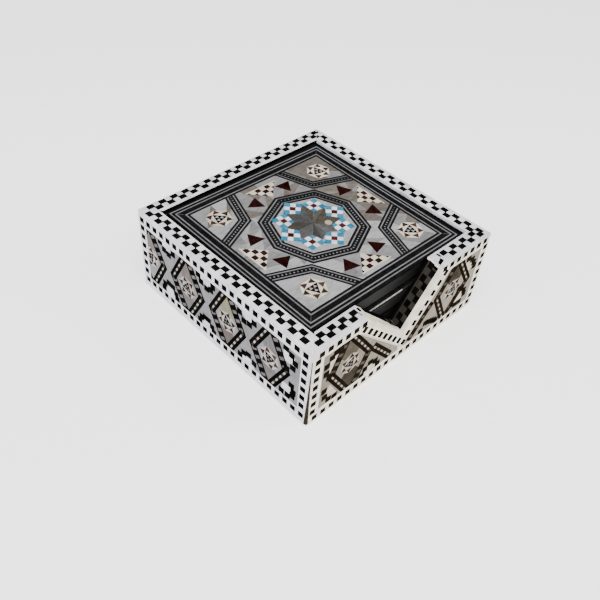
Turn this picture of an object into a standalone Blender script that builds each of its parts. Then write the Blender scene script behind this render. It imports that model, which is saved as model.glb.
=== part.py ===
"""Square coaster box inlaid with mother-of-pearl, holding a stack of four lift-out coasters.

The frame: +Z is up, the finger notch faces -Y, and the origin is on the table under the middle of the box.
Lengths are in metres.
"""
import math

import bmesh
import bpy
from mathutils import Vector

# Box
BOX_WIDTH = 0.123
BOX_HEIGHT = 0.049
VENEER = 0.0020
BOARD = 0.0061
LINING = 0.0005
GAP = 0.0003
CORNER_RADIUS = 0.0018
ARRIS_RADIUS = 0.0012
ROUNDING_FACETS = 3

# Underside
PANEL_LIFT = 0.0004
BASE_FELT = 0.0009
BASE_FELT_INSET = 0.0045
BASE_BOARD = 0.0050

# Finger notch: a lopsided V on the front face, sawn across the wall slightly askew
NOTCH_LEFT = -0.0300
NOTCH_RIGHT = 0.0206
NOTCH_APEX_X = -0.0007
NOTCH_APEX_Z = 0.0214
NOTCH_SKEW = 0.0018

# Coasters, and how each one lies in the stack from the bottom up: x, y in metres and turn in degrees
COASTER_WIDTH = 0.1016
COASTER_FELT = 0.0009
COASTER_FELT_INSET = 0.0020
COASTER_DROP = 0.0021
COASTER_LIES = (
    (0.0002, -0.0005, 0.3),
    (-0.0003, 0.0002, -0.4),
    (0.0003, -0.0010, -0.3),
    (0.0003, 0.0004, -0.6),
)

HALF = BOX_WIDTH / 2
RIM_WIDTH = VENEER + BOARD + LINING + 2 * GAP
RIM_UNDERSIDE = BOX_HEIGHT - VENEER
WALL_TOP = RIM_UNDERSIDE - GAP
BOARD_HALF = HALF - VENEER - GAP
BASE_BOARD_LOW = BASE_FELT + GAP
BASE_BOARD_TOP = BASE_BOARD_LOW + BASE_BOARD
LINING_HALF = BOARD_HALF - BOARD - GAP
FLOOR_TOP = BASE_BOARD_TOP + GAP + LINING

UP = Vector((0, 0, 1))
SIDES = {
    "left": Vector((-1, 0, 0)),
    "front": Vector((0, -1, 0)),
    "right": Vector((1, 0, 0)),
    "back": Vector((0, 1, 0)),
}

MATERIALS = {
    "pearl_inlay": ((0.60, 0.59, 0.58), 0.28),
    "carcass_wood": ((0.27, 0.15, 0.07), 0.60),
    "black_wood": ((0.020, 0.019, 0.018), 0.45),
    "black_velvet": ((0.010, 0.010, 0.011), 0.95),
    "green_felt": ((0.020, 0.060, 0.035), 0.95),
}


def clear_scene():
    for item in list(bpy.context.scene.objects):
        bpy.data.objects.remove(item, do_unlink=True)


def new_collection(name):
    collection = bpy.data.collections.new(name)
    bpy.context.scene.collection.children.link(collection)
    return collection


def make_materials():
    for name, (colour, roughness) in MATERIALS.items():
        material = bpy.data.materials.new(name)
        material.use_nodes = True
        shader = material.node_tree.nodes["Principled BSDF"]
        shader.inputs["Base Color"].default_value = (*colour, 1.0)
        shader.inputs["Roughness"].default_value = roughness
        shader.inputs["Metallic"].default_value = 0.0


def saw(bm, point, normal):
    """Cut the block with a plane, drop the side its normal points to, and close the cut."""
    everything = bm.verts[:] + bm.edges[:] + bm.faces[:]
    bmesh.ops.bisect_plane(bm, geom=everything, plane_co=point, plane_no=normal, clear_outer=True)
    open_edges = [edge for edge in bm.edges if edge.is_boundary]
    bmesh.ops.holes_fill(bm, edges=open_edges)


def sawn_block(name, low, high, material, cuts=(), collection=None, parent=None):
    """A block from low to high, trimmed by planes, each a point and the normal of the side sawn off."""
    low, high = Vector(low), Vector(high)
    centre = (low + high) / 2
    size = high - low
    bm = bmesh.new()
    bmesh.ops.create_cube(bm, size=1.0)
    bmesh.ops.scale(bm, vec=size, verts=bm.verts)
    for point, normal in cuts:
        saw(bm, Vector(point) - centre, Vector(normal))
    bmesh.ops.recalc_face_normals(bm, faces=bm.faces)
    mesh = bpy.data.meshes.new(name)
    bm.to_mesh(mesh)
    bm.free()
    block = bpy.data.objects.new(name, mesh)
    block.location = centre
    block.parent = parent
    if material:
        mesh.materials.append(bpy.data.materials[material])
    (collection or PARTS).objects.link(block)
    return block


def mitre(edge_point, normal, neighbour, concave=False):
    """The cut between two slabs that meet along an edge, half a gap on this slab's side of it."""
    towards = (normal - neighbour) if concave else (neighbour - normal)
    towards = towards.normalized()
    return (edge_point - towards * GAP / 2, towards)


def rounding(edge_point, normal_a, normal_b, radius):
    """Cuts that round the edge between two square faces off to a radius, as flat facets."""
    centre = edge_point - radius * (normal_a + normal_b)
    cuts = []
    for step in range(1, ROUNDING_FACETS + 1):
        angle = math.radians(90) * step / (ROUNDING_FACETS + 1)
        normal = normal_a * math.cos(angle) + normal_b * math.sin(angle)
        cuts.append((centre + radius * normal, normal))
    return cuts


def side_block_corners(normal, outer, thickness, z_low, z_high):
    """The lowest and highest corners of a slab that stands along one side of the box."""
    along = Vector((abs(normal.y), abs(normal.x), 0))
    face_a = normal * outer + along * outer
    face_b = normal * (outer - thickness) - along * outer
    low = Vector((min(face_a.x, face_b.x), min(face_a.y, face_b.y), z_low))
    high = Vector((max(face_a.x, face_b.x), max(face_a.y, face_b.y), z_high))
    return low, high


def corner_cuts(normal, rounded):
    """Mitres at both ends of a side, and the rounding of its two upright corners if it has them."""
    cuts = []
    for neighbour in SIDES.values():
        if abs(normal.dot(neighbour)) > 0.5:
            continue
        corner = HALF * (normal + neighbour)
        cuts.append(mitre(corner, normal, neighbour))
        if rounded:
            cuts += rounding(corner, normal, neighbour, CORNER_RADIUS)
    return cuts


def slope_normals():
    """The outward normals of the notch's left and right slopes."""
    across = Vector((NOTCH_SKEW, RIM_WIDTH, 0))
    normals = []
    for edge in (LEFT_EDGE, RIGHT_EDGE):
        normal = (edge - APEX).cross(across).normalized()
        normals.append(normal if normal.z > 0 else -normal)
    return normals


def cut_notch(piece):
    """Take the V out of a front piece, leaving room for the slope strips."""
    cut = piece.modifiers.new("notch", "BOOLEAN")
    cut.operation = "DIFFERENCE"
    cut.solver = "EXACT"
    cut.object = NOTCH_CUTTER


def make_notch_cutter():
    room = VENEER + GAP
    low = (NOTCH_LEFT - 0.010, -HALF - 0.004, NOTCH_APEX_Z - 0.010)
    high = (NOTCH_RIGHT + 0.020, -HALF + RIM_WIDTH + 0.004, BOX_HEIGHT + 0.004)
    cuts = [(APEX - room * normal, -normal) for normal in (SLOPE_LEFT, SLOPE_RIGHT)]
    cutter = sawn_block("notch_cutter", low, high, None, cuts, collection=CUTTERS)
    cutter.hide_render = True
    cutter.display_type = "WIRE"
    return cutter


def make_base():
    felt = HALF - BASE_FELT_INSET
    sawn_block("base_felt", (-felt, -felt, 0), (felt, felt, BASE_FELT), "green_felt")
    sawn_block("base_board", (-BOARD_HALF, -BOARD_HALF, BASE_BOARD_LOW),
               (BOARD_HALF, BOARD_HALF, BASE_BOARD_TOP), "carcass_wood")
    lining = LINING_HALF
    sawn_block("lining_base", (-lining, -lining, BASE_BOARD_TOP + GAP), (lining, lining, FLOOR_TOP),
               "black_velvet")


def make_walls():
    """Each side is an inlaid panel outside, a board in the middle and a velvet lining inside."""
    layers = (
        ("panel", HALF, VENEER, PANEL_LIFT, "pearl_inlay"),
        ("wall", BOARD_HALF, BOARD, BASE_BOARD_TOP + GAP, "carcass_wood"),
        ("lining", LINING_HALF, LINING, FLOOR_TOP + GAP, "black_velvet"),
    )
    for side, normal in SIDES.items():
        for layer, outer, thickness, z_low, material in layers:
            is_panel = layer == "panel"
            cuts = corner_cuts(normal, rounded=is_panel)
            if is_panel:
                bottom_edge = normal * HALF + UP * z_low
                cuts += rounding(bottom_edge, normal, -UP, ARRIS_RADIUS)
            low, high = side_block_corners(normal, outer, thickness, z_low, WALL_TOP)
            piece = sawn_block(f"{layer}_{side}", low, high, material, cuts)
            if side == "front":
                cut_notch(piece)


def make_rims():
    """Inlaid strips on top of the walls, mitred at the corners, and broken by the notch at the front."""
    for side, normal in SIDES.items():
        low, high = side_block_corners(normal, HALF, RIM_WIDTH, RIM_UNDERSIDE, BOX_HEIGHT)
        cuts = corner_cuts(normal, rounded=True)
        cuts += rounding(normal * HALF + UP * BOX_HEIGHT, normal, UP, ARRIS_RADIUS)
        if side != "front":
            sawn_block(f"rim_{side}", low, high, "pearl_inlay", cuts)
            continue
        left_end = mitre(LEFT_EDGE, UP, SLOPE_LEFT)
        right_end = mitre(RIGHT_EDGE, UP, SLOPE_RIGHT)
        sawn_block("rim_front_left", low, high, "pearl_inlay", cuts + [left_end])
        sawn_block("rim_front_right", low, high, "pearl_inlay", cuts + [right_end])


def make_notch_strips():
    """The inlaid strips that cover the two slopes of the notch, across the whole wall."""
    low = Vector((-HALF, -HALF, NOTCH_APEX_Z - 0.010))
    high = Vector((HALF, -HALF + RIM_WIDTH, BOX_HEIGHT))
    strips = (
        ("notch_strip_left", SLOPE_LEFT, SLOPE_RIGHT, LEFT_EDGE),
        ("notch_strip_right", SLOPE_RIGHT, SLOPE_LEFT, RIGHT_EDGE),
    )
    for name, normal, other, rim_edge in strips:
        cuts = (
            (APEX, normal),
            (APEX - VENEER * normal, -normal),
            mitre(rim_edge, normal, UP),
            mitre(APEX, normal, other, concave=True),
        )
        sawn_block(name, low, high, "pearl_inlay", cuts)


def make_coasters():
    """Four loose coasters, each a black board with an inlaid top and a felt pad underneath."""
    pitch = (BOX_HEIGHT - COASTER_DROP - FLOOR_TOP) / len(COASTER_LIES)
    thickness = pitch - GAP
    half = COASTER_WIDTH / 2
    felt = half - COASTER_FELT_INSET
    inlay_low = thickness - VENEER
    for index, (x, y, turn) in enumerate(COASTER_LIES):
        name = f"coaster_{index + 1}"
        axis = bpy.data.objects.new(f"{name}_lift_axis", None)
        axis.location = (x, y, FLOOR_TOP + GAP + index * pitch)
        axis.rotation_euler.z = math.radians(turn)
        PARTS.objects.link(axis)
        sawn_block(f"{name}_felt", (-felt, -felt, 0), (felt, felt, COASTER_FELT), "black_velvet",
                   parent=axis)
        sawn_block(f"{name}_board", (-half, -half, COASTER_FELT + GAP), (half, half, inlay_low - GAP),
                   "black_wood", parent=axis)
        sawn_block(f"{name}_inlay", (-half, -half, inlay_low), (half, half, thickness), "pearl_inlay",
                   parent=axis)


clear_scene()
PARTS = new_collection("inlaid_coaster_box")
CUTTERS = new_collection("cutters")
make_materials()

APEX = Vector((NOTCH_APEX_X, -HALF, NOTCH_APEX_Z))
LEFT_EDGE = Vector((NOTCH_LEFT, -HALF, BOX_HEIGHT))
RIGHT_EDGE = Vector((NOTCH_RIGHT, -HALF, BOX_HEIGHT))
SLOPE_LEFT, SLOPE_RIGHT = slope_normals()
NOTCH_CUTTER = make_notch_cutter()

make_base()
make_walls()
make_rims()
make_notch_strips()
make_coasters()
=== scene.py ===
"""Looks of the inlaid coaster box: marquetry of shell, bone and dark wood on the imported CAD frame.

Lengths are in millimetres in the frame's axes, and become metres where a mesh or an object is made.
"""
import math
import random

import bmesh
import bpy
from mathutils import Matrix, Vector, noise


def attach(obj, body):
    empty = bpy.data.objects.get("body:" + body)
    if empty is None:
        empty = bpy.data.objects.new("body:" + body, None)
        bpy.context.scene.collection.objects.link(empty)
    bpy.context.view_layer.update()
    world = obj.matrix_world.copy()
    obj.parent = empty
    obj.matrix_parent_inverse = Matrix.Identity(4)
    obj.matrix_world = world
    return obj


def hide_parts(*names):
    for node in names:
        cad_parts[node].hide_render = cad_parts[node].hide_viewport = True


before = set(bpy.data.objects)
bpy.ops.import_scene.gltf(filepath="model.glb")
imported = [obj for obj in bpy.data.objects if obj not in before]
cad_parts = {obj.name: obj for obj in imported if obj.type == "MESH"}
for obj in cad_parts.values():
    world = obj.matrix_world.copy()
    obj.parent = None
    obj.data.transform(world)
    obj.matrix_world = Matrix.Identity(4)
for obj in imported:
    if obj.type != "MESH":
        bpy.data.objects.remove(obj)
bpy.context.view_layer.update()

MM = 0.001

# The box and its coasters, as the CAD has them
HALF = 61.5
HEIGHT = 49
VENEER = 2
RIM_WIDTH = 9.2
PANEL_FOOT = 0.4
SEAM = 0.06
RIM_FOOT = HEIGHT - VENEER
CORNER_RADIUS = 1.8
ARRIS_RADIUS = 1.3
ROUNDING_FACETS = 7
NOTCH_LEFT = -30
NOTCH_RIGHT = 20.6
NOTCH_APEX = Vector((-0.7, -HALF, 21.4))
NOTCH_SKEW = 1.8
FLOOR_TOP = 7
COASTER_HALF = 50.8
COASTER_PITCH = 9.975
COASTER_THICKNESS = 9.675
PAD_THICKNESS = 0.9
COASTER_LIES = ((0.2, -0.5, 0.3), (-0.3, 0.2, -0.4), (0.3, -1, -0.3), (0.3, 0.4, -0.6))

# How tiles sit in a face
GROUND_DROP = 0.06
LEVEL_RISE = 0.012
TILE_DEPTH = 0.25
CHAMFER = 0.035
SMALLEST_TILE = 0.05
SKIN = HALF - GROUND_DROP
UNEVENNESS = 0.05

UP = Vector((0, 0, 1))
SIDES = {
    "left": Vector((-1, 0, 0)),
    "front": Vector((0, -1, 0)),
    "right": Vector((1, 0, 0)),
    "back": Vector((0, 1, 0)),
}


# ---- materials

FINISHES = {}


def add_node(tree, kind, links=(), **values):
    node = tree.nodes.new(kind)
    for name, value in values.items():
        setattr(node, name, value)
    for socket, source in links:
        if isinstance(source, bpy.types.NodeSocket):
            tree.links.new(source, node.inputs[socket])
        else:
            node.inputs[socket].default_value = source
    return node


def combine(tree, operation, a, b, kind="ShaderNodeMath"):
    return add_node(tree, kind, [(0, a), (1, b)], operation=operation).outputs[0]


def ramp(tree, factor, low, dark, high, light):
    """A colour that runs from dark, up to the low value of the factor, to light, from the high value on."""
    node = add_node(tree, "ShaderNodeValToRGB", [("Fac", factor)])
    for element, position, colour in zip(node.color_ramp.elements, (low, high), (dark, light)):
        element.position = position
        element.color = (*colour, 1)
    return node.outputs["Color"]


def new_material(name, roughness, specular, coat=0, sheen=0):
    """Make a finish. Returns its node tree, its shader and the place in the piece's own frame."""
    FINISHES[name] = bpy.data.materials.new(name)
    FINISHES[name].use_nodes = True
    tree = FINISHES[name].node_tree
    shader = tree.nodes["Principled BSDF"]
    for socket, value in (("Roughness", roughness), ("Specular IOR Level", specular), ("Coat Weight", coat),
                          ("Coat Roughness", 0.12), ("Sheen Weight", sheen), ("Sheen Roughness", 0.45)):
        shader.inputs[socket].default_value = value
    return tree, shader, add_node(tree, "ShaderNodeTexCoord").outputs["Object"]


def noise_factor(tree, where, scale, detail, **inputs):
    links = [("Vector", where), ("Scale", scale), ("Detail", detail), *inputs.items()]
    dimensions = "4D" if "W" in inputs else "3D"
    return add_node(tree, "ShaderNodeTexNoise", links, noise_dimensions=dimensions).outputs["Fac"]


def add_relief(tree, shader, height, strength, distance):
    links = [("Strength", strength), ("Distance", distance), ("Height", height)]
    tree.links.new(add_node(tree, "ShaderNodeBump", links).outputs["Normal"], shader.inputs["Normal"])


def vary_roughness(tree, shader, factor, low, high):
    links = [("Value", factor), ("To Min", low), ("To Max", high)]
    tree.links.new(add_node(tree, "ShaderNodeMapRange", links).outputs[0], shader.inputs["Roughness"])


def inlay(name, dark, light, low=0.2, high=0.8, roughness=0.35, specular=0.3, coat=0, vary=0.3, figure=260,
          stretch=(1, 1, 1), relief=0.15):
    """A polished tile material: each tile has its own tone, with a soft figure and fine pores inside it."""
    tree, shader, where = new_material(name, roughness, specular, coat)
    tile = add_node(tree, "ShaderNodeNewGeometry").outputs["Random Per Island"]
    stretched = combine(tree, "MULTIPLY", where, stretch, "ShaderNodeVectorMath")
    cloud = noise_factor(tree, stretched, figure, 4, W=combine(tree, "MULTIPLY", tile, 40))
    pores = noise_factor(tree, where, 2600, 2)
    spread = add_node(tree, "ShaderNodeMapRange", [("Value", cloud), ("From Min", 0.32), ("From Max", 0.68)])
    tone = add_node(tree, "ShaderNodeMix", [("Factor", vary), ("A", spread.outputs[0]), ("B", tile)],
                    data_type="FLOAT")
    colour = ramp(tree, tone.outputs[0], low, dark, high, light)
    dirt = ramp(tree, pores, 0.3, (0.8, 0.79, 0.77), 0.46, (1, 1, 1))
    mixed = add_node(tree, "ShaderNodeMix", [("Factor", 0.7), ("A", colour), ("B", dirt)],
                     data_type="RGBA", blend_type="MULTIPLY")
    tree.links.new(mixed.outputs["Result"], shader.inputs["Base Color"])
    vary_roughness(tree, shader, cloud, roughness - 0.08, roughness + 0.1)
    add_relief(tree, shader, pores, relief, 0.00008)


def grained(name, dark, light, roughness, specular):
    """Open-grained wood, with the grain along X."""
    tree, shader, where = new_material(name, roughness, specular)
    along = combine(tree, "MULTIPLY", where, (18, 300, 300), "ShaderNodeVectorMath")
    fibre = noise_factor(tree, along, 4, 6, Distortion=0.6)
    pore = noise_factor(tree, along, 16, 2)
    tree.links.new(ramp(tree, fibre, 0.32, dark, 0.68, light), shader.inputs["Base Color"])
    vary_roughness(tree, shader, pore, roughness - 0.1, roughness + 0.15)
    add_relief(tree, shader, pore, 0.5, 0.0001)


def pile(name, dark, light, fibre_scale):
    """Felt or velvet: a soft mat of short fibres with a sheen."""
    tree, shader, where = new_material(name, 0.95, 0.1, sheen=0.35)
    shader.inputs["Sheen Tint"].default_value = (*[min(1, 6 * c + 0.05) for c in light], 1)
    fibre = noise_factor(tree, where, fibre_scale, 5, Distortion=1.5)
    patch = noise_factor(tree, where, 90, 3)
    half = combine(tree, "MULTIPLY", combine(tree, "ADD", fibre, patch), 0.5)
    tree.links.new(ramp(tree, half, 0.35, dark, 0.65, light), shader.inputs["Base Color"])
    add_relief(tree, shader, fibre, 0.9, 0.0002)


def shell(name, dark, light, figure=220, coat=0.06, specular=0.1):
    """Mother-of-pearl: fine bands in one direction, a tone of its own for each piece, and a thin gloss."""
    inlay(name, dark, light, 0, 1, specular=specular, coat=coat, vary=0.42, figure=figure, stretch=(1, 3, 1))


def dark_wood(name, dark, light, vary=0.3, figure=400):
    inlay(name, dark, light, roughness=0.6, specular=0, relief=0.05, vary=vary, figure=figure)


def make_finishes():
    inlay("bone", (0.5, 0.49, 0.515), (0.75, 0.74, 0.77), figure=180, specular=0.2)
    # Ivory is the front's warmer copy of bone: in part its own tone and in part painted warm light.
    inlay("ivory", (0.55, 0.5, 0.39), (0.86, 0.81, 0.69), figure=180, specular=0.15)
    inlay("cream", (0.42, 0.37, 0.28), (0.62, 0.57, 0.46), vary=0.4, specular=0.15)
    inlay("turquoise", (0.01, 0.095, 0.175), (0.032, 0.195, 0.3), 0.1, 0.9, vary=0.45, figure=700,
          specular=0.08)
    shell("warm_shell", (0.2, 0.176, 0.128), (0.38, 0.345, 0.265))
    shell("pale_shell", (0.24, 0.215, 0.2), (0.44, 0.41, 0.39))
    shell("line", (0.085, 0.085, 0.088), (0.175, 0.175, 0.18))
    shell("dim_line", (0.04, 0.04, 0.042), (0.09, 0.09, 0.092))
    shell("bright_pearl", (0.18, 0.175, 0.18), (0.335, 0.328, 0.338))
    shell("pearl", (0.105, 0.1, 0.1), (0.225, 0.218, 0.222))
    shell("beige_pearl", (0.062, 0.052, 0.044), (0.145, 0.128, 0.113))
    shell("side_pearl", (0.11, 0.105, 0.108), (0.215, 0.208, 0.216))
    shell("warm_pearl", (0.098, 0.083, 0.054), (0.205, 0.182, 0.13))
    shell("rose_pearl", (0.056, 0.039, 0.034), (0.155, 0.116, 0.105), 260)
    shell("grey_pearl", (0.05, 0.046, 0.044), (0.16, 0.152, 0.148), 260)
    shell("taupe_pearl", (0.035, 0.029, 0.028), (0.105, 0.093, 0.09), 260)
    shell("deep_rose", (0.036, 0.022, 0.019), (0.094, 0.068, 0.06), 260)
    shell("green_pearl", (0.1, 0.092, 0.042), (0.215, 0.203, 0.112), 300)
    shell("dusk_pearl", (0.045, 0.037, 0.028), (0.105, 0.091, 0.071), 300, coat=0, specular=0)
    shell("night_pearl", (0.022, 0.018, 0.013), (0.066, 0.056, 0.043), 300, coat=0, specular=0)
    # The dark shell below is painted shade: it fills the notch's checks and line, which lie in shadow, and the
    # shaded end of the coaster's edge strip.
    shell("painted_shade_shell", (0.014, 0.012, 0.0095), (0.04, 0.035, 0.028), 300, specular=0.05)
    shell("dark_petal", (0.012, 0.0105, 0.0085), (0.048, 0.043, 0.037), 420)
    shell("olive_petal", (0.02, 0.016, 0.01), (0.078, 0.066, 0.048), 420)
    shell("grey_petal", (0.025, 0.0245, 0.0245), (0.07, 0.069, 0.069), 420)
    shell("light_petal", (0.035, 0.034, 0.034), (0.098, 0.094, 0.094), 420)
    # The glint is a painted highlight: a pale patch standing for light caught on one petal.
    shell("glint", (0.15, 0.13, 0.09), (0.4, 0.36, 0.28), 400)
    dark_wood("ebony", (0.0018, 0.0017, 0.0017), (0.004, 0.0037, 0.0036))
    dark_wood("band", (0.0035, 0.0035, 0.0036), (0.0085, 0.0085, 0.0088))
    dark_wood("brown", (0.006, 0.0041, 0.0027), (0.014, 0.0095, 0.0064))
    dark_wood("deep_red", (0.006, 0.0015, 0.0013), (0.018, 0.0042, 0.0036))
    dark_wood("red", (0.022, 0.0045, 0.0045), (0.062, 0.013, 0.0125), 0.5, 500)
    dark_wood("brick", (0.009, 0.0034, 0.003), (0.03, 0.0105, 0.0095), 0.5, 500)
    dark_wood("star_red", (0.024, 0.0085, 0.0085), (0.064, 0.0235, 0.0235), 0.5, 500)
    dark_wood("olive", (0.014, 0.0112, 0.008), (0.046, 0.038, 0.028), 0.5)
    grained("walnut", (0.006, 0.0035, 0.002), (0.032, 0.02, 0.012), 0.6, 0.05)
    grained("blackwood", (0.004, 0.004, 0.004), (0.013, 0.0125, 0.0125), 0.5, 0.15)
    pile("velvet", (0.0015, 0.0015, 0.0015), (0.006, 0.006, 0.0065), 2200)
    pile("felt", (0.01, 0.035, 0.02), (0.025, 0.075, 0.045), 1500)


# ---- flat geometry in millimetres

def area(corners):
    pairs = zip(corners, corners[1:] + corners[:1])
    return sum(ax * by - bx * ay for (ax, ay), (bx, by) in pairs) / 2


def clip(corners, keeps):
    """Cut a convex outline by half-planes, each a point and the normal of the side that is kept."""
    for (px, py), (nx, ny) in keeps:
        kept = []
        for (ax, ay), (bx, by) in zip(corners, corners[1:] + corners[:1]):
            a = (ax - px) * nx + (ay - py) * ny
            b = (bx - px) * nx + (by - py) * ny
            if a >= 0:
                kept.append((ax, ay))
            if (a > 0 > b) or (a < 0 < b):
                t = a / (a - b)
                kept.append((ax + t * (bx - ax), ay + t * (by - ay)))
        corners = kept
        if len(corners) < 3:
            return []
    return corners


def inset(corners, distance):
    """A convex outline drawn in by a distance."""
    drawn = []
    for i, (bx, by) in enumerate(corners):
        (ax, ay), (cx, cy) = corners[i - 1], corners[(i + 1) % len(corners)]
        into, out = Vector((bx - ax, by - ay)), Vector((cx - bx, cy - by))
        inward = Vector((0, 0))
        if min(into.length, out.length) >= 1e-6:
            into.normalize()
            out.normalize()
            inward = Vector((-into.y - out.y, into.x + out.x))
        reach = inward.length
        if reach >= 1e-6:
            inward *= min(distance / max(reach / 2, 0.35), 3 * distance) / reach
        drawn.append((bx + inward.x, by + inward.y))
    return drawn


def turned(corners, angle, centre=(0, 0)):
    c, s = math.cos(angle), math.sin(angle)
    return [(centre[0] + x * c - y * s, centre[1] + x * s + y * c) for x, y in corners]


def polygon(sides, radius, angle=0, centre=(0, 0)):
    turns = [angle + math.tau * i / sides for i in range(sides)]
    return [(centre[0] + radius * math.cos(turn), centre[1] + radius * math.sin(turn)) for turn in turns]


def box(x0, y0, x1, y1):
    return [(x0, y0), (x1, y0), (x1, y1), (x0, y1)]


def square(size, angle, centre):
    half = size / 2
    return turned(box(-half, -half, half, half), angle, centre)


def inside(x0, y0, x1, y1):
    """The half-planes of a box, to clip with."""
    return [((x0, 0), (1, 0)), ((x1, 0), (-1, 0)), ((0, y0), (0, 1)), ((0, y1), (0, -1))]


def legs(path, closed):
    """Which points of a path its legs run between."""
    return [(i, (i + 1) % len(path)) for i in range(len(path) if closed else len(path) - 1)]


def beside(path, distance, closed=False):
    """A path moved sideways, to its left, with mitred corners."""
    points = [Vector(p) for p in path]
    moved = []
    count = len(points)
    for i in range(count):
        into = points[i] - points[i - 1] if (i or closed) else points[1] - points[0]
        out = points[(i + 1) % count] - points[i] if (i < count - 1 or closed) else into
        into, out = into.normalized(), out.normalized()
        left = Vector((-into.y - out.y, into.x + out.x)).normalized()
        straight = Vector((-into.y, into.x))
        moved.append(points[i] + left * distance / max(left.dot(straight), 0.2))
    return moved


class Mosaic:
    """Inlay let into one flat face. A tile is a low block with a chamfered top, in the face's x and y.

    A finish may also be a function of the middle of the tile.
    """

    def __init__(self, origin, x_axis, y_axis):
        self.origin = Vector(origin)
        self.x_axis = Vector(x_axis)
        self.y_axis = Vector(y_axis)
        self.normal = self.x_axis.cross(self.y_axis)
        self.field = []
        self.vertices = []
        self.faces = []
        self.face_finish = []
        self.finishes = []

    def point(self, x, y, height):
        return (self.origin + self.x_axis * x + self.y_axis * y + self.normal * height) * MM

    def tile(self, corners, finish, level=0):
        corners = clip([tuple(c) for c in corners], self.field)
        size = area(corners) if corners else 0
        if abs(size) < SMALLEST_TILE:
            return
        if callable(finish):
            finish = finish(*(sum(places) / len(corners) for places in zip(*corners)))
        if size < 0:
            corners = corners[::-1]
        if finish not in self.finishes:
            self.finishes.append(finish)
        top = LEVEL_RISE * level - GROUND_DROP / 2
        rings = ((corners, -TILE_DEPTH), (corners, top - CHAMFER), (inset(corners, CHAMFER), top))
        first, count = len(self.vertices), len(corners)
        for ring, height in rings:
            self.vertices += [self.point(x, y, height) for x, y in ring]
        made = [tuple(range(first, first + count))[::-1], tuple(range(first + 2 * count, first + 3 * count))]
        for low in (first, first + count):
            made += [(low + i, low + j, low + count + j, low + count + i) for i, j in legs(corners, True)]
        self.faces += made
        self.face_finish += [self.finishes.index(finish)] * len(made)

    def stripe(self, path, a, b, finish, level=0, closed=False):
        """A band between two distances to the left of a path."""
        near, far = beside(path, a, closed), beside(path, b, closed)
        for i, j in legs(path, closed):
            self.tile([near[i], near[j], far[j], far[i]], finish, level)

    def ticks(self, path, half_width, length, pitch, finish, level, closed=False):
        """Small tiles spaced evenly along a path."""
        for i, j in legs(path, closed):
            start = Vector(path[i])
            run = Vector(path[j]) - start
            count = max(1, round(run.length / pitch))
            along = run.normalized()
            side = Vector((-along.y, along.x)) * half_width
            half = along * length / 2
            for k in range(count):
                middle = start + run * (k + 0.5) / count
                self.tile([middle - half - side, middle + half - side, middle + half + side,
                           middle - half + side], finish, level)

    def mesh(self, name):
        data = bpy.data.meshes.new(name)
        data.from_pydata(self.vertices, [], self.faces)
        for finish in self.finishes:
            data.materials.append(FINISHES[finish])
        data.polygons.foreach_set("material_index", self.face_finish)
        data.update()
        return data


# ---- solid pieces

def show(name, data, body="holder", node=None, place=None):
    piece = bpy.data.objects.new(name, data)
    bpy.context.scene.collection.objects.link(piece)
    if place is not None:
        piece.matrix_world = place
    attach(piece, body)
    if node:
        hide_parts(node)
    return piece


def show_inlay(name, mosaic):
    show(f"{name}_inlay", mosaic.mesh(f"{name}_inlay"))


def saw(bm, point, normal, **options):
    everything = bm.verts[:] + bm.edges[:] + bm.faces[:]
    bmesh.ops.bisect_plane(bm, geom=everything, plane_co=point, plane_no=normal, **options)


def to_mesh(name, bm, finish, sharp=None):
    """The mesh of a piece built in millimetres, smooth but for edges sharper than an angle in degrees."""
    bmesh.ops.scale(bm, vec=(MM, MM, MM), verts=bm.verts)
    data = bpy.data.meshes.new(name)
    bm.to_mesh(data)
    bm.free()
    data.shade_smooth()
    if sharp:
        data.set_sharp_from_angle(angle=math.radians(sharp))
    data.materials.append(FINISHES[finish])
    return data


def new_block(size):
    bm = bmesh.new()
    bmesh.ops.create_cube(bm, size=1)
    bmesh.ops.scale(bm, vec=size, verts=bm.verts)
    return bm


def sawn_mesh(name, low, high, finish, cuts=()):
    """A block from low to high, trimmed by planes, each a point and the normal of the side sawn off."""
    low, high = Vector(low), Vector(high)
    bm = new_block(high - low)
    bmesh.ops.translate(bm, vec=(low + high) / 2, verts=bm.verts)
    for point, normal in cuts:
        saw(bm, point, normal, dist=1e-6, clear_outer=True)
        bmesh.ops.holes_fill(bm, edges=[edge for edge in bm.edges if edge.is_boundary])
    bmesh.ops.recalc_face_normals(bm, faces=bm.faces)
    return to_mesh(name, bm, finish, 35)


def mitre(edge_point, normal, neighbour, concave=False):
    towards = (normal - neighbour) if concave else (neighbour - normal)
    towards = towards.normalized()
    return (edge_point - towards * SEAM / 2, towards)


def rounding(edge_point, normal_a, normal_b, radius, facets=ROUNDING_FACETS):
    """Cuts that round an edge between two faces off to a radius."""
    bend = math.acos(max(-1, min(1, normal_a.dot(normal_b))))
    reach = radius / math.cos(bend / 2)
    centre = edge_point - reach * (normal_a + normal_b).normalized()
    cuts = []
    for step in range(1, facets + 1):
        share = step / (facets + 1)
        normal = (normal_a * math.sin((1 - share) * bend) + normal_b * math.sin(share * bend)).normalized()
        cuts.append((centre + radius * normal, normal))
    return cuts


def neighbours(normal):
    return [other for other in SIDES.values() if abs(normal.dot(other)) < 0.5]


def corner_cuts(normal):
    """The mitres and rounded edges at the two ends of a side, just under the face of the inlay."""
    cuts = []
    for neighbour in neighbours(normal):
        corner = SKIN * (normal + neighbour)
        cuts.append(mitre(corner, normal, neighbour))
        cuts += rounding(corner, normal, neighbour, CORNER_RADIUS)
    return cuts


def side_corners(normal, outer, thickness, z_low, z_high):
    along = Vector((abs(normal.y), abs(normal.x), 0)) * outer
    ends = (normal * outer + along, normal * (outer - thickness) - along)
    low, high = (Vector([pick(place) for place in zip(*ends)]) for pick in (min, max))
    low.z, high.z = z_low, z_high
    return low, high


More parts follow.
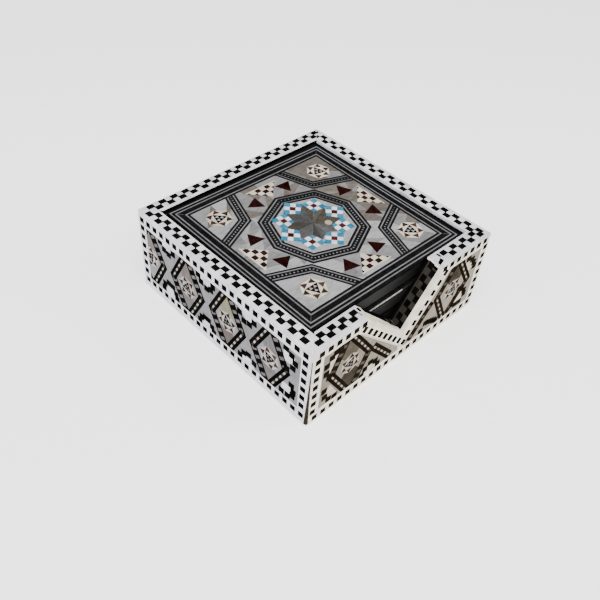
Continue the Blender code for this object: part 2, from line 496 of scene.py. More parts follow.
def soft_sheet(name, low, high, finish, spacing, edge=0.3):
    """A thin sheet of pile with rounded edges and a slightly uneven face."""
    low, high = Vector(low), Vector(high)
    size = high - low
    bm = new_block(size)
    radius = min(edge, min(size) * 0.45)
    bmesh.ops.bevel(bm, geom=bm.edges[:], offset=radius, segments=3, profile=0.5, affect="EDGES")
    for axis in range(3):
        normal = Vector([1 if i == axis else 0 for i in range(3)])
        count = int(size[axis] / spacing)
        for step in range(1, count):
            saw(bm, normal * (-size[axis] / 2 + size[axis] * step / count), normal, dist=1e-5)
    for vertex in bm.verts:
        coarse, fine = noise.noise_vector(vertex.co * 0.45), noise.noise_vector(vertex.co * 1.7)
        vertex.co += coarse * UNEVENNESS + fine * UNEVENNESS / 2
        for i in range(3):
            vertex.co[i] = max(-size[i] / 2, min(size[i] / 2, vertex.co[i]))
    bmesh.ops.translate(bm, vec=(low + high) / 2, verts=bm.verts)
    return to_mesh(name, bm, finish)


# ---- motifs

def pieced_triangle(mosaic, x, y, radius, turn, finishes, level):
    """A triangle pieced from nine small ones, dark and pale by turns."""
    dark, pale = finishes
    a, b, c = (Vector(p) for p in polygon(3, radius, turn, (x, y)))
    mosaic.tile([a, b, c], dark, level)
    for i, j in ((0, 0), (1, 0), (0, 1)):
        p = a + (b - a) * (i + 1) / 3 + (c - a) * j / 3
        q = a + (b - a) * i / 3 + (c - a) * (j + 1) / 3
        r = a + (b - a) * (i + 1) / 3 + (c - a) * (j + 1) / 3
        middle = (p + q + r) / 3
        mosaic.tile([middle + (corner - middle) * 0.84 for corner in (p, r, q)], pale, level + 1)


def star(mosaic, x, y, radius, turn, level, ground="cream", bits="bright_pearl", dark="ebony"):
    """Six olive points with red hearts on a pale hexagon, round a pieced triangle."""
    mosaic.tile(polygon(6, radius, turn, (x, y)), ground, level)
    for k in range(6):
        angle = turn + math.tau * k / 6
        for scale, finish in ((1, "olive"), (0.55, "star_red")):
            point = []
            for reach, side in ((1.02, 0), (0.54, 0.3), (0.54, -0.3)):
                point.append((radius * (0.68 + scale * (reach - 0.68)), radius * scale * side))
            mosaic.tile(turned(point, angle, (x, y)), finish, level + (1 if scale == 1 else 2))
    pieced_triangle(mosaic, x, y, radius * 0.62, turn + math.pi / 6, (dark, bits), level + 3)


def pearl_ground(mosaic, x0, y0, x1, y1, finish, seed, cell=9):
    """A field of irregular shell pieces, fitted together."""
    rng = random.Random(seed)
    columns, rows = round((x1 - x0) / cell), round((y1 - y0) / cell)
    wide, high = (x1 - x0) / columns, (y1 - y0) / rows
    knots = {}
    for i in range(columns + 1):
        for j in range(rows + 1):
            stray_x = 0 if i in (0, columns) else rng.uniform(-0.28, 0.28) * wide
            stray_y = 0 if j in (0, rows) else rng.uniform(-0.28, 0.28) * high
            knots[i, j] = (x0 + i * wide + stray_x, y0 + j * high + stray_y)
    for i in range(columns):
        for j in range(rows):
            piece = [knots[i, j], knots[i + 1, j], knots[i + 1, j + 1], knots[i, j + 1]]
            if rng.random() < 0.5:
                halves = [piece[:3], [piece[0], piece[2], piece[3]]]
            else:
                halves = [piece[:2] + piece[3:], piece[1:]]
            for half in halves:
                mosaic.tile(half, finish)


def laced_band(mosaic, path, width, closed=False):
    """The band of the coasters: black, with a thin pearl line near each edge and ticks down the middle."""
    half = width / 2
    mosaic.stripe(path, -half, half, "band", 2, closed)
    near, far = beside(path, 0.06 - half, closed), beside(path, half - 0.06, closed)
    for low, high in list(zip(near, far))[0 if closed else 1:None if closed else -1]:
        # A dark sliver under the groove of the mitre, which would show the pearl below
        along = (high - low).normalized() * 0.12
        aside = Vector((-along.y, along.x))
        mosaic.tile([low - aside, high - aside, high + aside, low + aside], "band", 1.5)
    for middle in (-half * 0.54, half * 0.54):
        # The pearl lines and ticks are darker towards the far right corner, as painted shade.
        mosaic.stripe(path, middle - 0.36, middle + 0.36, line_with_painted_shade, 3, closed)
    mosaic.ticks(path, 0.42, 0.8, 1.85, line_with_painted_shade, 3, closed)


def chain(mosaic, start, end, width, finishes, level, plain=True, overrun=(0, 0)):
    """A leg of a side's lozenge: a dark band with pale dashes, or with smoky bits between dark checks."""
    pale, dark, dim = finishes
    start, end = Vector(start), Vector(end)
    along = (end - start).normalized()
    band = [start - along * overrun[0], end + along * overrun[1]]
    mosaic.stripe(band, -width / 2, width / 2, dark, level)
    if plain:
        mosaic.stripe(band, -0.6, 0.6, "night_pearl", level + 1)
        mosaic.ticks([start, end], 0.5, 2.1, 4.75, pale, level + 2)
    else:
        mosaic.ticks([start, end], width / 2 - 0.9, 1.9, 5, dim, level + 1)


def lozenge(mosaic, corners, star_at, finishes, kites, turn, plain_legs, ground, star_ground):
    """A lozenge of chain bands round a star. The corners run left, bottom, right, top."""
    left, bottom, right, top = (Vector(p) for p in corners)
    middle = Vector(star_at)
    mosaic.tile([left, bottom, right, top], ground, 2)
    mosaic.tile([left.lerp(top, 0.42), middle, right.lerp(top, 0.42), top], kites[0], 3)
    mosaic.tile([bottom, right.lerp(bottom, 0.42), middle, left.lerp(bottom, 0.42)], kites[1], 3)
    sides = ((left, bottom), (bottom, right), (right, top), (top, left))
    for plain in (False, True):
        for index, (start, end) in enumerate(sides):
            if plain == (index in plain_legs):
                overrun = (0, 1.35) if index % 2 else (1.35, 0)
                chain(mosaic, start, end, 4.6 if plain else 4.9, finishes, 6 if plain else 4, plain, overrun)
    star(mosaic, *middle, 6.5, turn, 9, star_ground, "grey_pearl", finishes[1])


def stairs(mosaic, points, finish):
    """Dark squares that step along like stairs."""
    for point in points:
        mosaic.tile(square(3.35, 0, point), finish, 13)


def dotted_line(mosaic, start, end, pitch, finish):
    """A row of dark squares from start to end, both ends included."""
    start, end = Vector(start), Vector(end)
    run = end - start
    count = max(1, round(run.length / pitch))
    angle = math.atan2(run.y, run.x)
    for k in range(count + 1):
        mosaic.tile(square(3.2, angle, start + run * k / count), finish, 1)


# ---- the four sides

LOZENGES = (-52.4, -22.7, 7, 36)
KITES = (("rose_pearl", "side_pearl"), ("rose_pearl", "taupe_pearl"), ("green_pearl", "deep_rose"),
         ("grey_pearl", "taupe_pearl"))

# The stairs of dark squares between the lozenges and at the ends: on the plain sides, and on the front
SIDE_STAIRS = (
    (-43, 40.5), (-40, 37.5), (-36.5, 36.5), (-33, 39),
    (-13.5, 40), (-11.5, 37), (-7.5, 35.3), (-4.5, 36.5), (-3, 39.5),
    (15.8, 38.5), (18.8, 35), (22.5, 35.5), (25.5, 38.5),
    (-42.5, 11), (-41.5, 14.5), (-38.3, 16.8), (-35, 16.3), (-32.7, 13.2), (-32, 10.5),
    (-13.5, 10.5), (-12, 13.5), (-9.5, 15), (-6.8, 15), (-4.3, 12.3), (-3, 9.8),
    (16.5, 11), (19, 14), (22.3, 15.2), (26.2, 12.5),
    (45.9, 40), (49.4, 38.2), (51.8, 35), (50.6, 31.2), (47, 28.2),
    (50.6, 19.6), (52, 16.4), (51.6, 13.2), (48.6, 11.4), (44.8, 11.4),
)

FRONT_STAIRS = (
    (-44.5, 41), (-47.2, 40.3), (-49.5, 38.5), (-52.2, 34.8), (-52, 29.8), (-50, 26.2),
    (-52, 18), (-51.2, 13.5), (-48.5, 10.2), (-44.6, 9.5),
    (-26.5, 8.5), (-24.5, 12), (-21.2, 14.4), (-17.6, 13), (-15.5, 9.5),
    (16.5, 9.5), (19.2, 13.6), (21.8, 12.9), (24.2, 12), (26.4, 10.9), (28.4, 9.6),
    (45, 41), (48.5, 39), (50.5, 36), (52, 33),
    (43.5, 22), (46.5, 20.5), (49, 18), (50, 15), (41.5, 17), (40.5, 12), (44, 11),
    (47.5, 11),
)


def side_mosaic(normal):
    return Mosaic(normal * HALF, UP.cross(normal), UP)


def plain_side(normal):
    """The pattern of a side without the notch: a row of lozenges, the first cut by the end of the field."""
    mosaic = side_mosaic(normal)
    dotted_line(mosaic, (-57.4, 44.8), (57.2, 44.8), 5.2, "ebony")
    dotted_line(mosaic, (-57, 6.2), (57.6, 6), 5.2, "ebony")
    for x in (-57.5, 57.3):
        dotted_line(mosaic, (x, 12.2), (x, 39.9), 5.5, "ebony")
    low, high, middle = 8.9, 41.3, 25.4
    mosaic.field = inside(-54.4, low, 55, high)
    pearl_ground(mosaic, -54.4, low, 55, high, "side_pearl", 11)
    for k, x in enumerate(LOZENGES):
        corners = ((x - 10.9, middle), (x, middle - 20.2), (x + 10.9, middle), (x, middle + 20.2))
        lozenge(mosaic, corners, (x, middle - 0.4), ("pale_shell", "ebony", "taupe_pearl"), KITES[k],
                0.35 + 0.5 * k, (3, 1), "side_pearl", "pale_shell")
    for a, b in zip(LOZENGES, LOZENGES[1:]):
        x = (a + b) / 2
        for y, bits in ((high, ((-6.6, 0), (-1.4, -4.6), (1.4, -4.6), (5.6, 0))),
                        (low, ((-5, 0), (5, 0), (2, 5.4), (-2.4, 5.4)))):
            mosaic.tile([(x + dx, y + dy) for dx, dy in bits], "bone", 1)
    for edge, up in ((high, 1), (low, -1)):
        corner = [(44, edge), (51.5, edge - up * 3.5), (51, edge - up * 9), (45, edge - up * 9)]
        mosaic.tile(corner, "bone", 1)
    stairs(mosaic, SIDE_STAIRS, "ebony")
    return mosaic


def slope_frame(k):
    """The foot of a slope of the notch, the way out from under it and the way up along it, in x and z."""
    foot = Vector((NOTCH_APEX.x, NOTCH_APEX.z))
    run = (Vector((RIM_EDGES[k].x, HEIGHT)) - foot).normalized()
    return foot, (Vector((run.y, -run.x)) if k else Vector((-run.y, run.x))), run


def front_motifs(mosaic):
    """The two lozenges, the two slanting bands and the stairs of squares between and beside them."""
    # The front's warm shell, brown and warm pearl are warmer copies of the sides' finishes, in part their own
    # tone and in part painted warm light.
    finishes = ("warm_shell", "brown", "dusk_pearl")
    looks = ((0, 2), "warm_pearl", "warm_shell")
    lozenge(mosaic, ((-48.6, 25.5), (-34.2, 3.3), (-24, 25.2), (-39.6, 46.5)), (-36.6, 25.6), finishes,
            ("dusk_pearl", "night_pearl"), 0.5, *looks)
    lozenge(mosaic, ((24.3, 27), (34.8, 6.7), (48.8, 26), (36, 46.2)), (36.6, 26.3), finishes,
            ("night_pearl", "warm_pearl"), 0.9, *looks)
    chain(mosaic, (-21.4, 25.6), (-6.8, 9.2), 4.7, finishes, 12)
    chain(mosaic, (20.8, 27), (6.8, 9.4), 4.6, finishes, 12, plain=False)
    stairs(mosaic, FRONT_STAIRS, "brown")
    for corners in (
        [(-50.5, 39.5), (-44, 39.5), (-49.5, 28), (-50.8, 30)],
        [(-51, 16), (-48.6, 20), (-42.5, 10), (-48, 11)],
        [(-25.5, 8), (-15.5, 8), (-20, 13.5), (-23, 13.5)],
        [(46, 30), (51, 34), (47, 40.5), (42.5, 40.5)],
        [(41, 9.5), (48.5, 11), (48.5, 17), (44.5, 20)],
    ):
        mosaic.tile(corners, "cream", 1)


def front_side():
    """The front pattern: a lozenge on each side of the notch, and rows of dots that follow the V."""
    mosaic = side_mosaic(SIDES["front"])
    for start, end, pitch in (
        ((-56.4, 3.6), (56.8, 4.9), 5.38),
        ((-58.1, 8.7), (-58.1, 42), 5.55),
        ((57.8, 9.2), (57.8, 42), 5.5),
        ((-56.3, 45.5), (-30.6, 45.7), 5.2),
        ((24.6, 46.2), (56.2, 46.4), 5.25),
    ):
        dotted_line(mosaic, start, end, pitch, "brown")
    ends = []
    # For the left and the right slope: how far under it the dots lie, where they start and end along it, and how
    # far under it the pale line and the field lie
    for k, (dots_at, first, last, line_at, field_at) in enumerate((
        (4.9, -9.8, 35.4, 6.95, 7.7),
        (8.1, -0.5, 33.4, 10.65, 11.1),
    )):
        foot, down, run = slope_frame(k)
        row, line, edge = (foot + down * distance for distance in (dots_at, line_at, field_at))
        dotted_line(mosaic, row + run * first, row + run * last, 5.65, "brown")
        low, high, width = line - run * 10, line + run * 36, down * 0.7
        mosaic.tile([low, high, high + width, low + width], "cream", 0)
        ends.append((tuple(edge), tuple(down)))
    for slope_end, sign, high in ((ends[0], 1, 42.4), (ends[1], -1, 43)):
        low, end = 7.9, -sign * 54.6
        mosaic.field = [((end, 0), (sign, 0)), slope_end, ((0, low), (0, 1)), ((0, high), (0, -1)),
                        ((NOTCH_APEX.x, 0), (-sign, 0))]
        pearl_ground(mosaic, min(end, 0) - 1, low, max(end, 0) + 1, high, "warm_pearl", 31 + sign)
        front_motifs(mosaic)
    return mosaic


def make_sides():
    for side, normal in SIDES.items():
        low, high = side_corners(normal, SKIN, VENEER, PANEL_FOOT, RIM_FOOT)
        cuts = corner_cuts(normal) + rounding(normal * SKIN + UP * PANEL_FOOT, normal, -UP, ARRIS_RADIUS)
        name = f"panel_{side}"
        if side != "front":
            show(f"{name}_ground", sawn_mesh(name, low, high, "bone", cuts), node=name)
            show_inlay(name, plain_side(normal))
            continue
        # The front ground is ivory, a warmer copy of the sides' bone: in part its own tone and in part painted
        # warm light.
        for tag, slope, node in (("left", SLOPES[0], name), ("right", SLOPES[1], None)):
            across = SIDES["right" if tag == "left" else "left"]
            notch = [(NOTCH_APEX - (VENEER + SEAM) * slope, slope), (NOTCH_APEX, across)]
            half = sawn_mesh(f"{name}_{tag}", low, high, "ivory", cuts + notch)
            show(f"{name}_ground_{tag}", half, node=node)
        show_inlay(name, front_side())


# ---- rim and notch

CHECK_LONG = 3.95
CHECK_OVERLAP = 0.14

# For each strip of the rim: where its two rows of black checks start and end, from the outer edge inwards, and
# for each row the first and last check and their count, along +X or +Y
RIM_CHECKS = {
    "back": ((1.45, 4.2, 7.05), (-55, 56.2, 17), (-51.8, 52.9, 16)),
    "left": ((1.35, 4.2, 6.85), (-53.2, 54.3, 16), (-49.6, 50.9, 15)),
    "right": ((2.6, 5.35, 8.2), (-56, 59, 17), (-52.3, 55.3, 16)),
    "front_left": ((2.3, 4.95, 7.6), (-55, -34.7, 4), (-51.6, -32, 4)),
    "front_right": ((2.1, 4.9, 7.6), (33.7, 55.5, 4), (30.1, 52.3, 4)),
}
# Odd pieces at the ends of the front strips: finish and corners in x and y
END_PIECES = {
    "front_left": (("ebony", ((-29.3, -56.5), (-28.2, -56.5), (-28, -54.1), (-29.1, -54.1))),
                   ("line", ((-30.5, -58.9), (-29.8, -58.9), (-29.8, -56.6), (-30.5, -56.6)))),
    "front_right": (("ebony", ((26.3, -56.2), (27.5, -56.2), (27.5, -53.7), (26.3, -53.7))),
                    ("ebony", ((21.9, -60), (26, -58.9), (26, -56.6), (22.1, -58.3)))),
}
LEFT_INNER_LINE = 1.15


def rim_mosaic(strip, normal):
    mosaic = Mosaic((0, 0, HEIGHT), (1, 0, 0), (0, 1, 0))
    out = (normal.x, normal.y)
    along = (abs(normal.y), abs(normal.x))
    for neighbour in neighbours(normal):
        corner, towards = HALF * (normal + neighbour), (normal - neighbour).normalized()
        mosaic.field.append(((corner.x, corner.y), (towards.x, towards.y)))

    def bar(near, far, low, high):
        """A black bar between two distances from the outer edge and two places along the side."""
        corners = []
        for distance, place in ((near, low), (near, high), (far, high), (far, low)):
            reach = HALF - distance
            corners.append((out[0] * reach + along[0] * place, out[1] * reach + along[1] * place))
        mosaic.tile(corners, "ebony", 1)

    rows, *runs = RIM_CHECKS[strip]
    for (near, far), (first, last, count) in zip(zip(rows, rows[1:]), runs):
        for k in range(count):
            place = first + (last - first) * k / (count - 1)
            bar(near - CHECK_OVERLAP, far + CHECK_OVERLAP, place - CHECK_LONG / 2, place + CHECK_LONG / 2)
    if strip == "left":
        bar(RIM_WIDTH - LEFT_INNER_LINE, RIM_WIDTH, -HALF, HALF)
    for finish, corners in END_PIECES.get(strip, ()):
        mosaic.tile(corners, finish, 1)
    return mosaic


def blacken(data, direction):
    """Make the faces of a piece that look along a direction black."""
    data.materials.append(FINISHES["ebony"])
    for face in data.polygons:
        if face.normal.dot(direction) > 0.8:
            face.material_index = len(data.materials) - 1


def make_rims():
    for side, normal in SIDES.items():
        top = HEIGHT - GROUND_DROP
        low, high = side_corners(normal, SKIN, RIM_WIDTH, RIM_FOOT + SEAM, top)
        cuts = corner_cuts(normal) + rounding(normal * SKIN + UP * top, normal, UP, ARRIS_RADIUS)
        cuts += rounding(normal * (HALF - RIM_WIDTH) + UP * top, -normal, UP, 0.35, 4)
        strips = [(side, [])]
        if side == "front":
            edges = [edge - UP * GROUND_DROP for edge in RIM_EDGES]
            strips = [(f"front_{tag}", [mitre(edge, UP, slope)] + rounding(edge, UP, slope, SLOPE_ROUNDING))
                      for tag, edge, slope in zip(("left", "right"), edges, SLOPES)]
        for strip, end_cuts in strips:
            name = f"rim_{strip}"
            plate = sawn_mesh(name, low, high, "bone", cuts + end_cuts)
            if side in ("back", "left"):
                blacken(plate, -normal)
            show(f"{name}_ground", plate, node=name)
            show_inlay(name, rim_mosaic(strip, normal))


SLOPE_ROUNDING = 1.6
SLOPE_END = 1.2
SLOPE_CHECK_PITCH = 7.05
# For the left and the right slope: where the two rows of checks start and end from the face of the wall inwards,
# how far up they run (on the left they stop low down, and the plain ivory above them is painted light on the lit
# upper part), and how far the black under them narrows and stops short (on the left the narrowing paints the
# edge of the shadow cast by the notch's right side)
SLOPE_ROWS = (((3, 4.9, 6.9), (9.5, 9.5), 3.3, 5), ((1.1, 3.9, 6.9), (32.4, 34), 0, 0))


def make_notch():
    """The strips on the two slopes: two rows of dark checks on black, a thin dark line and a black edge. The
    dark shell that fills the checks and the line is painted shade, standing for pale shell that lies in shadow.
    """
    low = Vector((-HALF, -SKIN, NOTCH_APEX.z - 10))
    high = Vector((HALF, -HALF + RIM_WIDTH, HEIGHT - GROUND_DROP))
    front = SIDES["front"]
    for k, tag in enumerate(("left", "right")):
        slope, other = SLOPES[k], SLOPES[1 - k]
        surface = NOTCH_APEX - slope * GROUND_DROP
        cuts = [
            (surface, slope),
            (NOTCH_APEX - VENEER * slope, -slope),
            mitre(RIM_EDGES[k], slope, UP),
            mitre(NOTCH_APEX, slope, other, concave=True),
        ]
        cuts += rounding(RIM_EDGES[k] - UP * GROUND_DROP, slope, UP, SLOPE_ROUNDING)
        cuts += rounding(surface + Vector((0, GROUND_DROP, 0)), slope, front, 1)
        name = f"notch_strip_{tag}"
        plate = sawn_mesh(name, low, high, "ivory", cuts)
        blacken(plate, -front)
        show(f"{name}_ground", plate, node=name)
        rise = RIM_EDGES[k] - NOTCH_APEX
        run, top = rise.normalized(), rise.length - SLOPE_END
        mosaic = Mosaic(NOTCH_APEX, run, slope.cross(run))
        lean, depth = ACROSS.dot(mosaic.x_axis) / ACROSS.y, ACROSS.dot(mosaic.y_axis) / ACROSS.y

        def bar(low_x, high_x, near, far, finish, level, taper=0):
            """A bar between two places up the slope and two depths from the face of the wall.

            The taper is how much deeper its near edge lies at the top.
            """
            if low_x >= high_x:
                return
            corners = []
            for x, d in ((low_x, near), (high_x, near + taper), (high_x, far), (low_x, far)):
                corners.append((x + lean * d, depth * d))
            mosaic.tile(corners, finish, level)

        (start, middle, end), ends, taper, short = SLOPE_ROWS[k]
        bar(-0.04, top - short, start, RIM_WIDTH + 0.04, "ebony", -1, taper)
        bar(0.02, ends[1], end, end + 0.7, "painted_shade_shell", 0)
        for near, far, row_end, first in ((start, middle, ends[0], 1.6), (middle, end, ends[1], 4.4)):
            bar(0.02, min(top, row_end), near, far, "painted_shade_shell", 0)
            for step in range(6):
                x = first + SLOPE_CHECK_PITCH * step
                bar(max(0.02, x - 1.8), min(row_end, x + 1.8), near, far, "ebony", 1)
        show_inlay(name, mosaic)


# ---- coasters

# The pattern's middle on the coaster, and the middle of its rosette, which sits a little high
PATTERN_MIDDLE = (-0.7, 0.2)
ROSETTE_MIDDLE = (0.15, 0.75)
BORDER_LINES = (49.6, 47.65, 44.15)
FIELD_HALF = 42.6
# The corners of the octagon along the middle of its band. It is cut by eye and not quite regular.
OCTAGON = ((24.3, 2.1), (17.7, 18.1), (-0.7, 24.2), (-18.2, 15.7),
           (-24.1, -1.3), (-17.9, -18.3), (1.6, -25), (18.1, -16.8))
# Middle and turn in degrees of the eight red triangles
RED_TRIANGLES = ((-11.7, 29.9, 57), (10, 32.4, 26), (-30.5, 9, 90), (-30.1, -10.9, 7),
                 (31.5, 11, 86), (31.4, -10.6, 48), (-8.2, -32.2, 78), (12, -30.6, 104))
# The bands that cut off the four corners, each from one edge of the field to its bend and on to the next edge
CORNER_BANDS = (
    ((14.6, 45.7), (22.2, 24.1), (45.9, 15.9)),
    ((-17, 45.1), (-24.5, 23.1), (-44.8, 13.9)),
    ((-45, -14.8), (-23.5, -23), (-12.3, -45.5)),
    ((17.7, -46.4), (25.2, -23.6), (45.8, -13.7)),
)
# Middle and turn in degrees of the corner stars
STARS = ((33.5, 31.7, 49), (-33.2, 32, 74), (-31.8, -33.2, 0), (34.2, -32.9, 18))

# The four checked triangles, from the top one anticlockwise: how far the middle sits to the side, where the
# base is, the height, and whether the first row begins with a red check (0) or a cream one (1)
CHECKERS = ((-0.7, 38.9, 9.6, 1), (-1.1, 40, 9.6, 0), (-1.8, 39.8, 10.4, 1), (0.4, 39.9, 9.6, 1))


def line_with_painted_shade(x, y):
    """Painted shade: the pearl of the coaster's bands turns darker towards the far right corner."""
    return "dim_line" if x + y > 21 else "line"


def pearl_with_painted_light(x, y):
    """The shell of the coaster takes a tone that varies from place to place, and it also runs from bright at the
    near left corner to beige at the far right one, as painted light.
    """
    place = (x + y) / (2 * FIELD_HALF) + 0.5 * math.sin(1.7 * x + 2.3 * y)
    if place < -0.3:
        return "bright_pearl"
    return "pearl" if place < 0.28 else "beige_pearl"


def coaster_mosaic(border_lines):
    mosaic = Mosaic(Vector((*PATTERN_MIDDLE, COASTER_THICKNESS)), (1, 0, 0), (0, 1, 0))
    for reach in border_lines:
        mosaic.stripe(box(-reach, -reach, reach, reach), -0.33, 0.33, "line", 1, closed=True)
    for k in range(4):
        mitre_line = [(44.7, 44.55), (47.1, 46.95), (47.1, 47.25), (44.7, 44.85)]
        mosaic.tile(turned(mitre_line, k * math.pi / 2), "dim_line", 1)
    field = (-FIELD_HALF, -FIELD_HALF, FIELD_HALF, FIELD_HALF)
    mosaic.field = inside(*field)
    # The shell field carries painted light: brighter at the near left corner, darker at the far right one.
    pearl_ground(mosaic, *field, pearl_with_painted_light, 5, cell=10.5)
    mosaic.tile(OCTAGON, "bright_pearl", 1)
    laced_band(mosaic, OCTAGON, 6.9, closed=True)
    for k, (x, y, turn) in enumerate(STARS):
        laced_band(mosaic, CORNER_BANDS[k], 6.2)
        star(mosaic, x, y, 6.8, math.radians(turn), 3)
        checker_triangle(mosaic, k * math.pi / 2, *CHECKERS[k])
    for x, y, turn in RED_TRIANGLES:
        mosaic.tile(polygon(3, 5.3, math.radians(turn), (x, y)), "deep_red", 4)
    flowers(mosaic)
    petals(mosaic)
    return mosaic


def checker_triangle(mosaic, turn, shift, base, height, parity):
    """A triangle of red and cream checks in three rows, its base towards the border."""
    half, wide, deep, margin = 9.9, 3.08, 2.72, 0.7
    apex = (shift, base - height)
    whole = [(shift - half, base + margin), apex, (shift + half, base + margin)]
    mosaic.tile(turned(whole, turn), "cream", 2)
    slopes = [(apex, (height + margin, half)), (apex, (-height - margin, half))]
    for row in range(3):
        for column in range(-3, 4):
            if (row + column + parity) % 2 == 0:
                x, y = shift + column * wide, base - deep * row
                piece = clip(box(x - wide / 2, y - deep, x + wide / 2, y), slopes)
                mosaic.tile(turned(piece, turn), "brick", 3)


def flowers(mosaic):
    """Eight flowers of nine tiles: red in the middle, white beside it and turquoise at the corners."""
    step = 2.9
    kinds = (("turquoise", 3.3), ("bone", 2.75), ("red", 2.8))
    for k in range(8):
        angle = math.pi / 2 + k * math.pi / 4
        reach, turn = (14.3, 0) if k % 2 else (14.75, math.pi / 4)
        centre = (ROSETTE_MIDDLE[0] + reach * math.cos(angle), ROSETTE_MIDDLE[1] + reach * math.sin(angle))
        for i in (-1, 0, 1):
            for j in (-1, 0, 1):
                order = 2 - abs(i) - abs(j)
                finish, size = kinds[order]
                half = size / 2
                shape = box(i * step - half, j * step - half, i * step + half, j * step + half)
                mosaic.tile(turned(shape, turn, centre), finish, 4 + order)


# For each petal: how far it reaches, and the finishes of its two halves, the left one first
PETALS = ((14.2, "grey_petal", "olive_petal"), (15.2, "grey_petal", "olive_petal"),
          (14.6, "grey_petal", "grey_petal"), (13.8, "dark_petal", "dark_petal"),
          (13.9, "light_petal", "light_petal"), (13.2, "grey_petal", "dark_petal"),
          (13, "light_petal", "light_petal"), (14.8, "olive_petal", "olive_petal"))


def petals(mosaic):
    for k, (reach, *halves) in enumerate(PETALS):
        angle = math.pi / 8 + k * math.pi / 4
        for finish, side in zip(halves, (1, -1)):
            shape = [(0, 0), (8.6, side * 3.5), (reach - 2.5, side * 1.7), (reach, 0)]
            mosaic.tile(turned(shape, angle, ROSETTE_MIDDLE), finish, 8)
    # A pale patch on one petal is a painted highlight.
    glint = polygon(7, 2, 0.3, (ROSETTE_MIDDLE[0] + 6.3, ROSETTE_MIDDLE[1] - 4.3))
    mosaic.tile(glint, "glint", 9)


def painted_light_and_shade_strip():
    """A strip of shell let into the front edge of a coaster, near the top: its pale run is painted light, where
    light falls through the notch onto the edge, and its dark run is painted shadow of the notch's right side.
    """
    mosaic = Mosaic((0, -COASTER_HALF, 0), (1, 0, 0), (0, 0, 1))
    for start, end, finish in ((-49.5, 7.5, "pale_shell"), (7.5, 49.5, "painted_shade_shell")):
        mosaic.ticks([(start, 9), (end, 9)], 0.55, 3.9, 4, finish, 3)
    return mosaic


def make_coasters():
    top_face = coaster_mosaic(BORDER_LINES).mesh("top_coaster_inlay")
    lower_face = coaster_mosaic(BORDER_LINES[1:]).mesh("lower_coaster_inlay")
    strip = painted_light_and_shade_strip().mesh("coaster_painted_light_strip")
    half, pad_half = COASTER_HALF, COASTER_HALF - 2
    board_low, board_high = PAD_THICKNESS + 0.3, COASTER_THICKNESS - VENEER - 0.05
    plate_top = COASTER_THICKNESS - GROUND_DROP
    edges = []
    for normal in SIDES.values():
        edges += rounding(normal * half + UP * plate_top, normal, UP, 0.3, 3)
    board = sawn_mesh("coaster_board", (-half, -half, board_low), (half, half, board_high), "blackwood")
    plate = sawn_mesh("coaster_plate", (-half, -half, board_high + 0.05), (half, half, plate_top), "band",
                      edges)
    pad = soft_sheet("coaster_felt", (-pad_half, -pad_half, 0), (pad_half, pad_half, PAD_THICKNESS), "velvet",
                     spacing=3.5)
    for index, (x, y, turn) in enumerate(COASTER_LIES):
        body = f"coaster_{index + 1}"
        z = FLOOR_TOP + 0.3 + index * COASTER_PITCH
        place = Matrix.Translation(Vector((x, y, z)) * MM) @ Matrix.Rotation(math.radians(turn), 4, "Z")
        show(f"{body}_ground", plate, body, f"{body}_inlay", place=place)
        show(f"{body}_mosaic", top_face if index == 3 else lower_face, body, place=place)
        # Only the third coaster has the strip of painted light and shade on its edge.
        if index == 2:
            show(f"{body}_edge", strip, body, place=place)
        show(f"{body}_core", board, body, f"{body}_board", place)
        felt = show(f"{body}_pad", pad, body, f"{body}_felt", place)


# ---- inside and underside

def lay_sheet(name, data, node, slot, flat, held, rests_on, **measures):
    piece = show(name, data, node=node)


def make_linings():
    inner = HALF - RIM_WIDTH
    width, height = 2 * inner, RIM_FOOT - FLOOR_TOP - 0.6
    for side, normal in SIDES.items():
        name = f"lining_{side}"
        if side == "front":
            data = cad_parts[name].data.copy()
            data.name = "lining_front_velvet"
            data.materials.clear()
            data.materials.append(FINISHES["velvet"])
            measures = {"area": notched_area(width, height) * MM * MM}
        else:
            low, high = side_corners(normal, inner + 0.5, 0.5, FLOOR_TOP + 0.3, RIM_FOOT - 0.3)
            along = Vector((abs(normal.y), abs(normal.x), 0)) * 0.6
            data = soft_sheet(name, low + along, high - along, "velvet", spacing=4, edge=0.2)
            measures = {}
        lay_sheet(f"{name}_velvet", data, name, "black_velvet", (width, height), "stretched", f"wall_{side}",
                  **measures)
    data = soft_sheet("lining_base", (-inner, -inner, FLOOR_TOP - 0.5), (inner, inner, FLOOR_TOP), "velvet",
                      spacing=4, edge=0.2)
    lay_sheet("lining_base_velvet", data, "lining_base", "black_velvet", (width, width), "laid", "base_board")
    felt = HALF - 4.5
    data = soft_sheet("base_felt", (-felt, -felt, 0), (felt, felt, 0.9), "felt", spacing=3)
    lay_sheet("base_felt_sheet", data, "base_felt", "green_felt", (2 * felt, 2 * felt), "stretched",
              "base_board")


def notched_area(width, height):
    """The area of the front lining in square millimetres."""
    depth = RIM_FOOT - 0.3 - (NOTCH_APEX.z - 3.3)
    notch = (NOTCH_RIGHT - NOTCH_LEFT) * depth / (HEIGHT - NOTCH_APEX.z)
    return width * height - notch * depth / 2


def finish_boards():
    for name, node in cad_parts.items():
        if name.startswith("wall_") or name == "base_board":
            node.data.materials.clear()
            node.data.materials.append(FINISHES["walnut"])


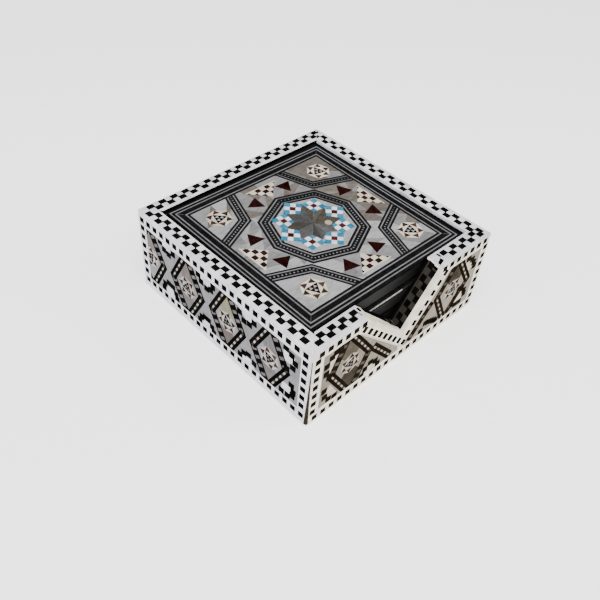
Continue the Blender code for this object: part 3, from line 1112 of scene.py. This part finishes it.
def bare_corner():
    """The veneer has worn back from the upright front corner, and the wood shows as a tapering sliver."""
    centre = Vector((-HALF + CORNER_RADIUS, -HALF + CORNER_RADIUS, 0))
    rows, columns = 24, 6
    bm = bmesh.new()
    rings = []
    for r in range(rows + 1):
        z = 1.4 + 42 * r / rows
        spread = math.radians(5 + 33 * (1 - r / rows) ** 1.5)
        spread *= 0.9 + 0.25 * noise.noise(Vector((0, 0, z * 0.4)))
        ring = []
        for radius, way in ((CORNER_RADIUS + 0.04, 1), (CORNER_RADIUS - 0.5, -1)):
            for c in range(columns + 1)[::way]:
                angle = math.radians(219) + spread * (2 * c / columns - 1)
                point = centre + Vector((math.cos(angle), math.sin(angle), 0)) * radius
                ring.append(bm.verts.new((point.x, point.y, z)))
        rings.append(ring)
    for low, high in zip(rings, rings[1:]):
        for i in range(len(low)):
            bm.faces.new((low[i - 1], low[i], high[i], high[i - 1]))
    for ring in (rings[0], rings[-1]):
        for c in range(columns):
            bm.faces.new((ring[c], ring[c + 1], ring[-c - 2], ring[-c - 1]))
    bmesh.ops.recalc_face_normals(bm, faces=bm.faces)
    show("bare_corner", to_mesh("bare_corner", bm, "walnut", 40))


# ---- stage

def area_light(name, place, size, power, colour):
    data = bpy.data.lights.new(name, "AREA")
    data.size, data.energy, data.color = size, power, colour
    lamp = bpy.data.objects.new(name, data)
    lamp.location = place
    lamp.rotation_euler = (Vector((0, 0, 0.02)) - Vector(place)).to_track_quat("-Z", "Y").to_euler()
    bpy.context.scene.collection.objects.link(lamp)


def make_stage():
    bpy.ops.mesh.primitive_plane_add(size=6, location=(0, 0, 0))
    floor = bpy.context.active_object
    floor.name = "floor"
    tree, shader, where = new_material("pale_paper", 0.95, 0)
    grain = noise_factor(tree, where, 500, 2)
    pale = ramp(tree, grain, 0, (0.9, 0.9, 0.9), 1, (0.93, 0.93, 0.93))
    tree.links.new(pale, shader.inputs["Base Color"])
    tree.links.new(pale, shader.inputs["Emission Color"])
    shader.inputs["Emission Strength"].default_value = 1
    floor.data.materials.append(FINISHES["pale_paper"])
    world = bpy.data.worlds.new("studio")
    world.use_nodes = True
    background = world.node_tree.nodes["Background"]
    background.inputs["Color"].default_value = (0.96, 0.98, 1, 1)
    background.inputs["Strength"].default_value = 0.5
    bpy.context.scene.world = world
    area_light("overhead", (-0.35, -0.3, 1.15), 1.1, 30, (0.97, 0.98, 1))
    area_light("key", (0.4, -0.55, 0.65), 0.25, 3.5, (1, 0.92, 0.78))
    area_light("fill", (-0.8, 0.15, 0.4), 0.6, 2, (0.9, 0.95, 1))


def make_camera():
    azimuth, elevation, roll = math.radians(47.24), math.radians(43.98), math.radians(-5.17)
    turn = Matrix.Rotation(-azimuth, 4, "Z") @ Matrix.Rotation(math.pi / 2 - elevation, 4, "X")
    data = bpy.data.cameras.new("camera")
    data.lens = 42.62
    data.sensor_width = 36
    camera = bpy.data.objects.new("camera", data)
    camera.matrix_world = (Matrix.Translation((-0.20498, -0.18388, 0.26055)) @ turn
                           @ Matrix.Rotation(-roll, 4, "Z"))
    bpy.context.scene.collection.objects.link(camera)
    bpy.context.scene.camera = camera


# ---- put it together

make_finishes()
RIM_EDGES = (Vector((NOTCH_LEFT, -HALF, HEIGHT)), Vector((NOTCH_RIGHT, -HALF, HEIGHT)))
ACROSS = Vector((NOTCH_SKEW, RIM_WIDTH, 0)).normalized()
SLOPES = []
for rim_edge in RIM_EDGES:
    face = (rim_edge - NOTCH_APEX).cross(ACROSS).normalized()
    SLOPES.append(face if face.z > 0 else -face)

make_sides()
make_rims()
make_notch()
make_coasters()
make_linings()
finish_boards()
bare_corner()
make_stage()
make_camera()
